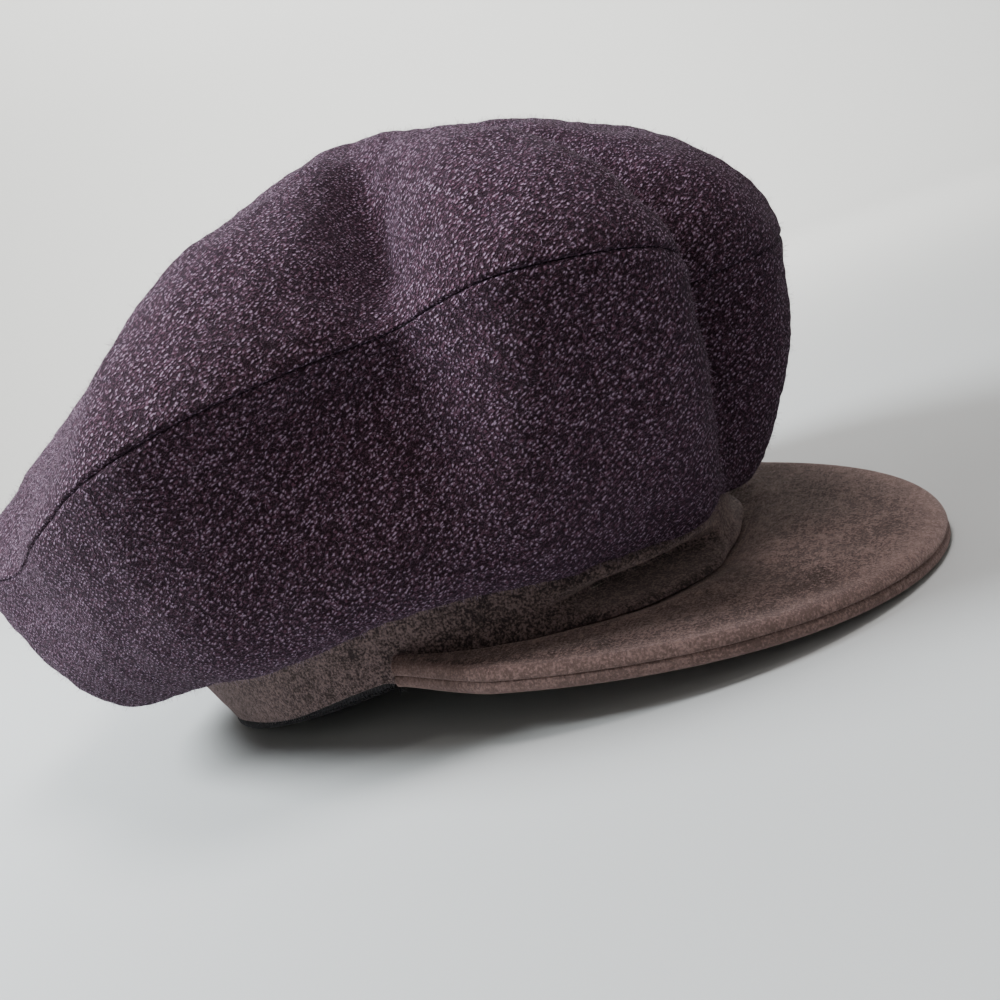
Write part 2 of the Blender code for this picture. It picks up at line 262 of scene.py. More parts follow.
def normals(surface, angle, level, rise):
    """Outward unit normals of a crown surface, over a step up that mitres the corner at the rim."""
    turn = 0.01
    level = np.minimum(level, 1.99)
    round_it = surface(angle + turn, level) - surface(angle - turn, level)
    low, high = np.maximum(level - rise, 0), np.minimum(level + rise, 1.995)
    normal = np.cross(surface(angle, high) - surface(angle, low), round_it)
    normal = normal / np.linalg.norm(normal, axis=-1, keepdims=True)
    near_top = np.clip((level - 1.8) / 0.19, 0, 1)[..., None]
    return normal * (1 - near_top) + np.array([0.0, 0.0, 1.0]) * near_top


def fold_depth(angle, level):
    """How far the folds press the crown in."""
    depth = 0 * angle
    for rim_angle, drift, middle, reach, width, size in FOLDS:
        centre = np.radians(rim_angle + drift * (level - 1))
        apart = np.degrees((angle - centre + np.pi) % (2 * np.pi) - np.pi)
        depth = depth + size * np.exp(-((apart / width) ** 2) - ((level - middle) / reach) ** 2)
    near_top = np.clip((2 - level) / 0.4, 0, 1)
    return depth * near_top * near_top * (3 - 2 * near_top)


def folded_crown(angle, level):
    inward = normals(smooth_crown, angle, level, 0.3)
    return smooth_crown(angle, level) - inward * fold_depth(angle, level)[..., None]


def crown(angle, level, depth=0.0):
    """The crown's outer face, or a face at a depth behind it. The depth may be an array."""
    depth = np.asarray(depth + 0 * angle)[..., None]
    return folded_crown(angle, level) - normals(folded_crown, angle, level, 0.06) * depth


def ripple(points, wavelength, seed, count=14):
    """Smooth unevenness from -1 to 1 or so, the same at the same place on every run."""
    chance = np.random.default_rng(seed)
    way = chance.normal(size=(count, 3))
    way /= np.linalg.norm(way, axis=1, keepdims=True)
    length = wavelength * chance.uniform(0.7, 1.4, count)
    start = chance.uniform(0, 2 * np.pi, count)
    waves = np.cos(points @ (way / length[:, None] * 2 * np.pi).T + start)
    return waves.sum(-1) / math.sqrt(count)


def window(value, start, full, past, end):
    """0 before start, 1 from full to past and 0 again after end, smoothly."""
    up = np.clip((value - start) / (full - start), 0, 1)
    down = np.clip((end - value) / (end - past), 0, 1)
    share = np.minimum(up, down)
    return share * share * (3 - 2 * share)


def hump(value, middle, width):
    return np.exp(-(((value - middle) / width) ** 2))


# ---------------------------------------------------------------- meshes


def is_inside_out(points, faces):
    a, b, c = (points[faces[:, k]] for k in range(3))
    volume = np.einsum("ij,ij->", a, np.cross(b, c))
    if faces.shape[1] == 4:
        d = points[faces[:, 3]]
        volume += np.einsum("ij,ij->", a, np.cross(c, d))
    return volume < 0


def mesh_object(name, points, faces, surface, cloth=None):
    """A piece at the origin. Faces is a list of arrays; cloth holds a flat place for each point."""
    points = np.asarray(points, float)
    total = [np.asarray(f, int) for f in faces if len(f)]
    quads = max(total, key=len)
    if is_inside_out(points, quads):
        total = [f[:, ::-1] for f in total]
    mesh = bpy.data.meshes.new(name)
    mesh.from_pydata(points.tolist(), [], [tuple(f) for part in total for f in part.tolist()])
    mesh.shade_smooth()
    if cloth is not None:
        layer = mesh.uv_layers.new(name="cloth")
        corner = np.zeros(len(mesh.loops), np.int32)
        mesh.loops.foreach_get("vertex_index", corner)
        layer.data.foreach_set("uv", np.asarray(cloth, np.float32)[corner].ravel())
    mesh.materials.append(surface)
    obj = bpy.data.objects.new(name, mesh)
    bpy.context.scene.collection.objects.link(obj)
    return obj


def grid_quads(columns, rows, first=0, ring=True, loop=False):
    """Quads over points numbered column by column, closed round the columns, the rows or both."""
    i = np.arange(columns if ring else columns - 1)
    j = np.arange(rows if loop else rows - 1)
    i, j = (a.ravel() for a in np.meshgrid(i, j, indexing="ij"))
    i2, j2 = (i + 1) % columns, (j + 1) % rows
    return np.stack(
        [first + i * rows + j, first + i2 * rows + j, first + i2 * rows + j2, first + i * rows + j2], 1
    )


def ring_shell(name, points, surface, cloth=None):
    """A closed shell from a grid of points that closes both round the cap and round its section."""
    columns, rows = points.shape[:2]
    flat = None if cloth is None else cloth.reshape(-1, 2)
    return mesh_object(name, points.reshape(-1, 3), [grid_quads(columns, rows, loop=True)], surface, flat)


def cap_shell(name, outer, inner, surface, cloth_outer, cloth_inner):
    """A closed shell that covers the top. Both grids end in a row that is one point."""
    columns = outer.shape[0]
    n, m = outer.shape[1] - 1, inner.shape[1] - 1
    count, both = columns * n, columns * (n + m)
    points = np.concatenate(
        [outer[:, :-1].reshape(-1, 3), inner[:, :-1].reshape(-1, 3), [outer[0, -1]], [inner[0, -1]]]
    )
    cloth = np.concatenate(
        [cloth_outer[:, :-1].reshape(-1, 2), cloth_inner[:, :-1].reshape(-1, 2), np.zeros((2, 2))]
    )
    i = np.arange(columns)
    k = (i + 1) % columns
    quads = [
        grid_quads(columns, n),
        grid_quads(columns, m, count)[:, ::-1],
        np.stack([i * n, count + i * m, count + k * m, k * n], 1),
    ]
    tops = [
        np.stack([i * n + n - 1, k * n + n - 1, 0 * i + both], 1),
        np.stack([count + k * m + m - 1, count + i * m + m - 1, 0 * i + both + 1], 1),
    ]
    return mesh_object(name, points, [np.concatenate(quads), np.concatenate(tops)], surface, cloth)


def strip_shell(name, outer, inner, surface, cloth=None):
    """A closed sheet between two open grids of the same size."""
    columns, rows = outer.shape[:2]
    count = columns * rows
    i, j = np.arange(columns - 1), np.arange(rows - 1)
    last = (columns - 1) * rows
    side = np.stack([i * rows, count + i * rows, count + (i + 1) * rows, (i + 1) * rows], 1)
    end = np.stack([j, j + 1, count + j + 1, count + j], 1)
    quads = [
        grid_quads(columns, rows, ring=False),
        grid_quads(columns, rows, count, ring=False)[:, ::-1],
        side,
        side[:, ::-1] + rows - 1,
        end,
        end[:, ::-1] + last,
    ]
    points = np.concatenate([outer.reshape(-1, 3), inner.reshape(-1, 3)])
    flat = None if cloth is None else np.concatenate([cloth.reshape(-1, 2)] * 2)
    return mesh_object(name, points, [np.concatenate(quads)], surface, flat)


def ring_angles():
    return np.linspace(0, 2 * np.pi, sizes().columns, endpoint=False)


def turned(values):
    """A grid of (angle, value) for every column."""
    return np.meshgrid(ring_angles(), values, indexing="ij")


# ---------------------------------------------------------------- node helpers


class Nodes:
    """A short way to add nodes to a tree and join them."""

    def __init__(self, tree):
        self.tree = tree

    def add(self, kind, inputs=None, **settings):
        node = self.tree.nodes.new(kind)
        for key, value in settings.items():
            setattr(node, key, value)
        for key, value in (inputs or {}).items():
            self.put(node.inputs[key], value)
        return node

    def put(self, socket, value):
        if isinstance(value, bpy.types.NodeSocket):
            self.tree.links.new(value, socket)
        else:
            socket.default_value = value

    def math(self, operation, a, b=0.0, clamp=False):
        node = self.add("ShaderNodeMath", {0: a, 1: b}, operation=operation, use_clamp=clamp)
        return node.outputs[0]

    def vector(self, operation, a, b=(0.0, 0.0, 0.0), scale=None):
        node = self.add("ShaderNodeVectorMath", {0: a, 1: b}, operation=operation)
        if scale is not None:
            self.put(node.inputs["Scale"], scale)
        return node.outputs["Value" if operation in ("DOT_PRODUCT", "LENGTH") else "Vector"]

    def ease(self, value, low, high, start=0.0, end=1.0):
        return self.add(
            "ShaderNodeMapRange",
            {"Value": value, "From Min": low, "From Max": high, "To Min": start, "To Max": end},
            interpolation_type="SMOOTHSTEP",
        ).outputs["Result"]

    def mix(self, share, a, b, blend="MIX"):
        node = self.add("ShaderNodeMix", {0: share, 6: a, 7: b}, data_type="RGBA", blend_type=blend)
        return node.outputs[2]

    def noise(self, vector, scale, detail=2.0, rough=0.5):
        return self.add(
            "ShaderNodeTexNoise",
            {"Vector": vector, "Scale": scale, "Detail": detail, "Roughness": rough},
        )


def rgba(value):
    return (*value, 1.0)


def group(name, inputs, outputs):
    """A new shader group and its inputs by name. Finish it with close_group."""
    tree = bpy.data.node_groups.new(name, "ShaderNodeTree")
    for label, kind, value in inputs:
        socket = tree.interface.new_socket(label, in_out="INPUT", socket_type=kind)
        if value is not None:
            socket.default_value = value
    for label, kind in outputs:
        tree.interface.new_socket(label, in_out="OUTPUT", socket_type=kind)
    nodes = Nodes(tree)
    return nodes, nodes.add("NodeGroupInput").outputs


def close_group(nodes, values):
    nodes.add("NodeGroupOutput", values)
    return nodes.tree


def use_group(nodes, tree, values):
    node = nodes.add("ShaderNodeGroup", node_tree=tree)
    for key, value in values.items():
        nodes.put(node.inputs[key], value)
    return node.outputs


FLOAT, VECTOR = "NodeSocketFloat", "NodeSocketVector"


def boucle_group():
    """Curled yarn: rows of uneven nubs with pits between them."""
    found = bpy.data.node_groups.get("boucle yarn")
    if found:
        return found
    n, given = group(
        "boucle yarn",
        [("Vector", VECTOR, None), ("Pitch", FLOAT, 0.0018)],
        [("Height", FLOAT), ("Tone", FLOAT), ("Strand", FLOAT)],
    )
    row, stack = tuple(ROW), tuple(STACK)
    across = tuple(ROW.cross(STACK).normalized())
    per = n.math("DIVIDE", 1.0, given["Pitch"])
    along, up, out = (
        n.math("MULTIPLY", n.vector("DOT_PRODUCT", given["Vector"], way), n.math("MULTIPLY", per, closeness))
        for way, closeness in ((row, 0.66), (stack, 1.12), (across, 1.0))
    )
    place = n.add("ShaderNodeCombineXYZ", {0: along, 1: up, 2: out}).outputs[0]
    wander = n.vector("SUBTRACT", n.noise(place, 0.45, 2.0).outputs["Color"], (0.5, 0.5, 0.5))
    place = n.vector("ADD", place, n.vector("SCALE", wander, scale=1.3))
    crimp = n.vector("SUBTRACT", n.noise(place, 1.5, 1.0).outputs["Color"], (0.5, 0.5, 0.5))
    place = n.vector("ADD", place, n.vector("SCALE", crimp, scale=0.55))
    nub = n.add("ShaderNodeTexVoronoi", {"Vector": place, "Scale": 1.0, "Randomness": 0.7})
    curl = n.add("ShaderNodeTexVoronoi", {"Vector": place, "Scale": 2.3, "Randomness": 1.0})
    round_nub = n.ease(nub.outputs["Distance"], 0.10, 0.66, 1.0, 0.0)
    round_curl = n.ease(curl.outputs["Distance"], 0.05, 0.70, 1.0, 0.0)
    strand = n.noise(place, 5.5, 3.0, 0.6).outputs["Fac"]
    lines = n.math("MULTIPLY", up, 3.6)
    lines = n.math("ADD", lines, n.math("MULTIPLY", n.noise(place, 0.25, 1.0).outputs["Fac"], 7.0))
    lines = n.ease(n.math("SINE", lines), -1.0, 0.4)
    height = n.math("MULTIPLY", round_nub, n.math("ADD", 0.38, n.math("MULTIPLY", lines, 0.20)))
    height = n.math("ADD", height, n.math("MULTIPLY", round_curl, 0.27))
    height = n.math("ADD", height, n.math("MULTIPLY", strand, 0.28))
    tone = n.add("ShaderNodeSeparateColor", {0: nub.outputs["Color"]}).outputs[0]
    return close_group(n, {"Height": height, "Tone": tone, "Strand": strand})


def nap_group():
    """Suede: a short brushed nap with speckles, soft clouds and streaks."""
    found = bpy.data.node_groups.get("suede nap")
    if found:
        return found
    n, given = group(
        "suede nap",
        [("Vector", VECTOR, None), ("Streaks", FLOAT, 0.3), ("Clouds", FLOAT, 0.3)],
        [("Height", FLOAT), ("Shade", FLOAT), ("Speckle", FLOAT)],
    )
    vector = given["Vector"]
    fine = n.noise(vector, 1250.0, 4.0, 0.7).outputs["Fac"]
    mottle = n.noise(vector, 330.0, 5.0, 0.62).outputs["Fac"]
    cloud = n.noise(vector, 36.0, 3.0, 0.55).outputs["Fac"]
    brushed = n.vector("MULTIPLY", vector, (120.0, 900.0, 900.0))
    streak = n.noise(brushed, 1.0, 3.0, 0.6).outputs["Fac"]
    shade = n.math("ADD", n.math("MULTIPLY", fine, 0.68), n.math("MULTIPLY", mottle, 0.32))
    shade = n.math("ADD", shade, n.math("MULTIPLY", n.math("SUBTRACT", streak, 0.5), given["Streaks"]))
    shade = n.math("ADD", shade, n.math("MULTIPLY", n.math("SUBTRACT", cloud, 0.5), given["Clouds"]))
    height = n.math("ADD", n.math("MULTIPLY", fine, 0.55), n.math("MULTIPLY", mottle, 0.45))
    return close_group(
        n, {"Height": height, "Shade": n.ease(shade, 0.42, 0.60), "Speckle": n.ease(fine, 0.55, 0.70)}
    )


def weave_group():
    """A plain weave on the cloth's own flat map."""
    found = bpy.data.node_groups.get("plain weave")
    if found:
        return found
    n, given = group(
        "plain weave",
        [("Vector", VECTOR, None), ("Thread", FLOAT, 0.0005), ("Slant", FLOAT, 0.0)],
        [("Height", FLOAT), ("Tone", FLOAT)],
    )
    flat = n.add("ShaderNodeSeparateXYZ", {0: given["Vector"]}).outputs
    turn = n.math("DIVIDE", math.pi, given["Thread"])
    u = n.math("MULTIPLY", flat[0], turn)
    v = n.math("ADD", n.math("MULTIPLY", flat[1], turn), n.math("MULTIPLY", u, given["Slant"]))
    warp = n.math("ABSOLUTE", n.math("SINE", u))
    weft = n.math("ABSOLUTE", n.math("SINE", v))
    over = n.ease(n.math("SINE", n.math("ADD", u, v)), -0.4, 0.4)
    under = n.math("MULTIPLY", weft, n.math("SUBTRACT", 1.0, over))
    height = n.math("ADD", n.math("MULTIPLY", warp, over), under)
    tone = n.noise(given["Vector"], n.math("DIVIDE", 0.4, given["Thread"]), 2.0).outputs["Fac"]
    return close_group(n, {"Height": height, "Tone": tone})


def new_material(name):
    """A material with an empty Principled shader, and the nodes to feed it."""
    made = bpy.data.materials.new(name)
    made.use_nodes = True
    nodes = Nodes(made.node_tree)
    return made, nodes, made.node_tree.nodes["Principled BSDF"]


def bump(nodes, shader, height, distance, strength=1.0):
    node = nodes.add("ShaderNodeBump", {"Height": height, "Distance": distance, "Strength": strength})
    nodes.put(shader.inputs["Normal"], node.outputs["Normal"])


def object_place(nodes):
    return nodes.add("ShaderNodeTexCoord").outputs["Object"]


def cloth_place(nodes):
    return nodes.add("ShaderNodeUVMap", uv_map="cloth").outputs["UV"]


def soft_sheen(shader, weight, tint, spread):
    shader.inputs["Sheen Weight"].default_value = weight
    shader.inputs["Sheen Tint"].default_value = rgba(tint)
    shader.inputs["Sheen Roughness"].default_value = spread
    shader.inputs["Specular IOR Level"].default_value = 0.12


def wool_material():
    """Curled plum yarn: plum body, with painted shade in the pits between curls and a painted lavender
    highlight on the curl tops.
    """
    made, n, shader = new_material("plum_boucle_wool")
    place = object_place(n)
    yarn = use_group(n, boucle_group(), {"Vector": place, "Pitch": sizes().curl})
    tone = n.ease(yarn["Tone"], 0.0, 1.0, 0.62, 1.25)
    grey = n.add("ShaderNodeCombineColor", {0: tone, 1: tone, 2: tone}).outputs[0]
    body = n.mix(1.0, rgba(colours().wool), grey, "MULTIPLY")
    # Painted shade in the pits: where the yarn's height is low the colour goes to the pit shade.
    shade = n.mix(n.ease(yarn["Height"], 0.22, 0.42), rgba(colours().wool_pit_shade), body)
    # Painted highlight: where the yarn's height is high the colour goes to the lavender highlight.
    shade = n.mix(n.ease(yarn["Height"], 0.48, 0.80), shade, rgba(colours().wool_highlight_and_pale_fibre))
    stray = n.ease(n.noise(place, 900.0, 4.0, 0.7).outputs["Fac"], 0.62, 0.74)
    shade = n.mix(n.math("MULTIPLY", stray, 0.5), shade, rgba(colours().wool_highlight_and_pale_fibre))
    n.put(shader.inputs["Base Color"], shade)
    n.put(shader.inputs["Roughness"], n.ease(yarn["Strand"], 0.3, 0.8, 0.82, 1.0))
    bump(n, shader, yarn["Height"], 2.2 * MM, 1.0)
    soft_sheen(shader, 0.10, (0.72, 0.55, 0.85), 0.4)
    return made


def fibre_material():
    """Loose fibres, paler than the wool they stand out of."""
    made, n, shader = new_material("wool_fibre")
    tint = n.noise(object_place(n), 300.0, 2.0).outputs["Fac"]
    n.put(
        shader.inputs["Base Color"],
        n.mix(n.ease(tint, 0.3, 0.7), rgba(colours().wool), rgba(colours().wool_highlight_and_pale_fibre)),
    )
    shader.inputs["Roughness"].default_value = 0.7
    return made


def suede_material(name, body, streaks, clouds, rim_wear_and_sheen=False):
    """Brushed suede over a given body colour, paler along the visor's rim, partly as rubbed wear and partly as
    painted sheen.
    """
    made, n, shader = new_material(name)
    place = object_place(n)
    nap = use_group(n, nap_group(), {"Vector": place, "Streaks": streaks, "Clouds": clouds})
    dark = tuple(0.16 * c for c in body)
    light = tuple(0.5 * a + 0.5 * b for a, b in zip(body, colours().nap))
    shade = n.mix(nap["Shade"], rgba(dark), rgba(light))
    shade = n.mix(n.math("MULTIPLY", nap["Speckle"], 0.6), shade, rgba(colours().nap))
    # Rubbed wear together with painted sheen: the rim's nap is mixed paler.
    if rim_wear_and_sheen:
        edge = n.add("ShaderNodeAttribute", attribute_name="edge").outputs["Fac"]
        shade = n.mix(n.math("MULTIPLY", edge, 0.35), shade, rgba(colours().nap))
    n.put(shader.inputs["Base Color"], shade)
    n.put(shader.inputs["Roughness"], n.ease(nap["Shade"], 0.0, 1.0, 0.95, 0.78))
    bump(n, shader, nap["Height"], 0.9 * MM, 1.0)
    soft_sheen(shader, 0.30, (0.95, 0.72, 0.68), 0.5)
    return made


def woven_material(name, body, thread, slant=0.0, gloss=0.55, depth=0.12 * MM):
    """A woven cloth of one colour, with its threads standing up a little."""
    made, n, shader = new_material(name)
    weave = use_group(n, weave_group(), {"Vector": cloth_place(n), "Thread": thread, "Slant": slant})
    dark = tuple(0.45 * c for c in body)
    light = tuple(min(1.0, 1.5 * c + 0.004) for c in body)
    shade = n.mix(weave["Height"], rgba(dark), rgba(light))
    shade = n.mix(n.ease(weave["Tone"], 0.3, 0.8, 0.0, 0.35), shade, rgba(light))
    n.put(shader.inputs["Base Color"], shade)
    n.put(shader.inputs["Roughness"], n.ease(weave["Tone"], 0.2, 0.8, gloss - 0.06, gloss + 0.08))
    bump(n, shader, weave["Height"], depth, 0.7)
    return made


def thread_material(name="black_sewing_thread"):
    """Twisted sewing thread."""
    made, n, shader = new_material(name)
    place = object_place(n)
    twist = n.noise(n.vector("MULTIPLY", place, (2600.0, 2600.0, 900.0)), 1.0, 2.0).outputs["Fac"]
    light = tuple(min(1.0, 3.2 * c + 0.01) for c in colours().thread)
    n.put(shader.inputs["Base Color"], n.mix(n.ease(twist, 0.35, 0.75), rgba(colours().thread), rgba(light)))
    shader.inputs["Roughness"].default_value = 0.62
    bump(n, shader, twist, 0.08 * MM, 0.8)
    return made


def flecked_material(name, body, fleck, scale, rough):
    """Pressed fibre or foam: one colour with soft flecks."""
    made, n, shader = new_material(name)
    spots = n.noise(object_place(n), scale, 4.0, 0.65).outputs["Fac"]
    n.put(shader.inputs["Base Color"], n.mix(n.ease(spots, 0.42, 0.66), rgba(body), rgba(fleck)))
    n.put(shader.inputs["Roughness"], n.ease(spots, 0.2, 0.8, rough - 0.08, rough + 0.08))
    bump(n, shader, spots, 0.15 * MM, 0.6)
    return made


# ---------------------------------------------------------------- geometry nodes


def shape_tree(name, inputs):
    """A geometry tree with its named inputs, as (nodes, input sockets)."""
    tree = bpy.data.node_groups.new(name, "GeometryNodeTree")
    face = tree.interface
    face.new_socket("Geometry", in_out="INPUT", socket_type="NodeSocketGeometry")
    for label, kind, value in inputs:
        socket = face.new_socket(label, in_out="INPUT", socket_type=kind)
        if value is not None:
            socket.default_value = value
    face.new_socket("Geometry", in_out="OUTPUT", socket_type="NodeSocketGeometry")
    nodes = Nodes(tree)
    return nodes, nodes.add("NodeGroupInput").outputs


def end_tree(nodes, instances, material):
    real = nodes.add("GeometryNodeRealizeInstances", {"Geometry": instances}).outputs[0]
    final = nodes.add("GeometryNodeSetMaterial", {"Geometry": real, "Material": material}).outputs[0]
    nodes.add("NodeGroupOutput", {0: final})
    return nodes.tree


def by_chance(n, rotation, most, seed):
    """A rotation turned further, by up to most radians about each of its own axes."""
    least = n.add("ShaderNodeVectorMath", {0: most, 1: (-1.0, -1.0, -1.0)}, operation="MULTIPLY").outputs[0]
    pick = {0: least, 1: most, "Seed": seed}
    angles = n.add("FunctionNodeRandomValue", pick, data_type="FLOAT_VECTOR").outputs[0]
    turn = n.add("FunctionNodeEulerToRotation", {0: angles}).outputs[0]
    both = {"Rotation": rotation, "Rotate By": turn}
    return n.add("FunctionNodeRotateRotation", both, rotation_space="LOCAL").outputs[0]


def fibre_tree():
    """Fibres scattered over a surface, each turned, leaned and sized by chance."""
    found = bpy.data.node_groups.get("loose fibres")
    if found:
        return found
    n, given = shape_tree(
        "loose fibres",
        [
            ("Fibre", "NodeSocketObject", None),
            ("Density", FLOAT, 100000.0),
            ("Lean", FLOAT, 0.9),
            ("Seed", "NodeSocketInt", 1),
            ("Material", "NodeSocketMaterial", None),
        ],
    )
    spots = n.add(
        "GeometryNodeDistributePointsOnFaces",
        {"Mesh": given["Geometry"], "Density": given["Density"], "Seed": given["Seed"]},
    ).outputs
    lean = n.add("ShaderNodeCombineXYZ", {0: given["Lean"], 1: given["Lean"], 2: 3.1416}).outputs[0]
    turned_by = by_chance(n, spots["Rotation"], lean, given["Seed"])
    size = n.add("FunctionNodeRandomValue", {2: 0.45, 3: 1.5}, data_type="FLOAT").outputs[1]
    fibre = n.add("GeometryNodeObjectInfo", {"Object": given["Fibre"]}).outputs["Geometry"]
    instances = n.add(
        "GeometryNodeInstanceOnPoints",
        {"Points": spots["Points"], "Instance": fibre, "Rotation": turned_by, "Scale": size},
    ).outputs[0]
    return end_tree(n, instances, given["Material"])


def sewing_tree():
    """One shape set out along a path at a pitch, its X along the path and its Z outward."""
    found = bpy.data.node_groups.get("sewing along a path")
    if found:
        return found
    n, given = shape_tree(
        "sewing along a path",
        [
            ("Stitch", "NodeSocketObject", None),
            ("Pitch", FLOAT, 0.003),
            ("Slack", FLOAT, 0.1),
            ("Seed", "NodeSocketInt", 1),
            ("Material", "NodeSocketMaterial", None),
        ],
    )
    curve = n.add("GeometryNodeMeshToCurve", {"Mesh": given["Geometry"]}).outputs[0]
    pitched = {"Curve": curve, "Length": given["Pitch"]}
    curve = n.add("GeometryNodeResampleCurve", pitched, mode="LENGTH").outputs[0]
    out = n.add("GeometryNodeInputNamedAttribute", {"Name": "out"}, data_type="FLOAT_VECTOR").outputs[0]
    tangent = n.add("GeometryNodeInputTangent").outputs[0]
    turn = n.add("FunctionNodeAlignRotationToVector", {"Vector": tangent}, axis="X").outputs[0]
    turn = n.add(
        "FunctionNodeAlignRotationToVector", {"Rotation": turn, "Vector": out}, axis="Z", pivot_axis="X"
    ).outputs[0]
    slack = n.add("ShaderNodeCombineXYZ", {0: given["Slack"], 1: given["Slack"], 2: given["Slack"]}).outputs[0]
    turn = by_chance(n, turn, slack, given["Seed"])
    stitch = n.add("GeometryNodeObjectInfo", {"Object": given["Stitch"]}).outputs["Geometry"]
    instances = n.add(
        "GeometryNodeInstanceOnPoints", {"Points": curve, "Instance": stitch, "Rotation": turn}
    ).outputs[0]
    return end_tree(n, instances, given["Material"])


def made_by_nodes(name, base, tree, values):
    """A plain mesh of what a geometry tree makes from base. Base is removed."""
    modifier = base.modifiers.new(name, "NODES")
    modifier.node_group = tree
    for item in tree.interface.items_tree:
        if item.item_type == "SOCKET" and item.in_out == "INPUT" and item.name in values:
            modifier[item.identifier] = values[item.name]
    graph = bpy.context.evaluated_depsgraph_get()
    mesh = bpy.data.meshes.new_from_object(base.evaluated_get(graph))
    base.modifiers.remove(modifier)
    bpy.data.objects.remove(base)
    mesh.name = name
    obj = bpy.data.objects.new(name, mesh)
    bpy.context.scene.collection.objects.link(obj)
    return obj


def bare_object(name, points, faces=(), edges=()):
    mesh = bpy.data.meshes.new(name)
    mesh.from_pydata([tuple(p) for p in points], list(edges), [tuple(int(i) for i in f) for f in faces])
    obj = bpy.data.objects.new(name, mesh)
    bpy.context.scene.collection.objects.link(obj)
    return obj


def path_object(name, points, outs, closed):
    """A path with an outward direction at each of its points."""
    count = len(points)
    edges = [(i, (i + 1) % count) for i in range(count if closed else count - 1)]
    obj = bare_object(name, points, edges=edges)
    layer = obj.data.attributes.new("out", "FLOAT_VECTOR", "POINT")
    layer.data.foreach_set("vector", np.asarray(outs, np.float32).ravel())
    return obj


def tube(points, radius, sides=6, closed=False, taper=0.0):
    """Points and faces of a thin tube along points."""
    points = np.asarray(points, float)
    count = len(points)
    ahead = np.roll(points, -1, 0) - np.roll(points, 1, 0)
    if not closed:
        ahead[0], ahead[-1] = points[1] - points[0], points[-1] - points[-2]
    ahead /= np.linalg.norm(ahead, axis=1, keepdims=True)
    guide = np.array([0.0, 1.0, 0.0]) if abs(ahead[:, 1]).max() < 0.9 else np.array([1.0, 0.0, 0.0])
    side = np.cross(ahead, guide)
    side /= np.linalg.norm(side, axis=1, keepdims=True)
    other = np.cross(side, ahead)
    turn = np.arange(sides) * 2 * np.pi / sides
    width = radius * (1 - taper * np.linspace(0, 1, count))[:, None, None]
    ring = points[:, None] + width * (
        side[:, None] * np.cos(turn)[None, :, None] + other[:, None] * np.sin(turn)[None, :, None]
    )
    faces = []
    for i in range(count if closed else count - 1):
        for j in range(sides):
            a, b = i * sides, (i + 1) % count * sides
            k = (j + 1) % sides
            faces.append((a + j, b + j, b + k, a + k))
    if not closed:
        faces.append(tuple(range(sides)))
        faces.append(tuple(range(count * sides - 1, (count - 1) * sides - 1, -1)))
    return ring.reshape(-1, 3), faces


def facing_out(obj):
    """Turns a small helper shape's faces outward."""
    shape = bmesh.new()
    shape.from_mesh(obj.data)
    bmesh.ops.recalc_face_normals(shape, faces=shape.faces)
    shape.to_mesh(obj.data)
    shape.free()
    obj.data.shade_smooth()
    return obj


def stitch_shape(length, radius, sag):
    """One lock stitch: a short thread that dips at both ends."""
    share = np.linspace(-1, 1, 5)
    points = np.stack([share * length / 2, 0 * share, -sag * length * share**2 * 0.5], 1)
    return facing_out(bare_object("stitch_shape", *tube(points, radius, 5)))


def sewn(name, path, stitch, pitch, slack, seed, thread):
    """A row of stitches along a path. The stitch shape is removed."""
    values = {"Stitch": stitch, "Pitch": pitch, "Slack": slack, "Seed": seed, "Material": thread}
    piece = made_by_nodes(name, path, sewing_tree(), values)
    bpy.data.objects.remove(stitch)
    return piece


def lock_stitched(name, path, share, radius, seed, thread):
    """A row of lock stitches, each share of the pitch long."""
    pitch = sizes().stitch
    return sewn(name, path, stitch_shape(share * pitch, radius, 0.2), pitch, 0.05, seed, thread)


def settled(piece, slot, *stands_for):
    """Gives a finished piece its body and hides the parts it stands for. The slot is not used."""
    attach(piece, "root")
    if stands_for:
        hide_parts(*stands_for)
    return piece


# ---------------------------------------------------------------- crown


def crown_place(angle, level):
    """Where a point of the crown lies on the flat cloth, in metres."""
    reach = 0.145 - 0.02 * level
    side = np.stack([angle * 0.13, level * 0.12], -1)
    top = np.stack([np.cos(angle) * reach * (2 - level), np.sin(angle) * reach * (2 - level)], -1)
    return np.where((level <= 1)[..., None], side, top)


def wool_depth(angle, level, seam_side):
    """How deep the wool's outer face lies: seam lips, gathers beside the seam, lumps and slubs."""
    path = 0.115 if seam_side < 0 else 0.17
    apart = np.abs(level - 1) * path
    lip = sizes().lip
    roll = np.clip(1 - apart / lip, 0, 1)
    depth = 0.85 * lip * (1 - np.sqrt(1 - roll**2))
    base = smooth_crown(angle, level)
    gather = np.cos(angle * 74 + 2.4 * ripple(base, 60 * MM, 5)) * np.exp(-((apart / (5 * MM)) ** 2))
    depth -= 0.10 * MM * gather
    depth -= 0.6 * MM * ripple(base, 46 * MM, 7)
    depth -= 0.3 * MM * ripple(base, 17 * MM, 8)
    depth -= sizes().slub * ripple(base, 5.5 * MM, 9)
    return depth


def panel_levels(low, high, rows, towards):
    """Levels closer together beside the seam, so that its lip is round."""
    even = np.linspace(0, 1, rows)
    if towards == "high":
        even = 1 - (1 - even) ** 1.35
    else:
        even = even**1.35
    return low + (high - low) * even


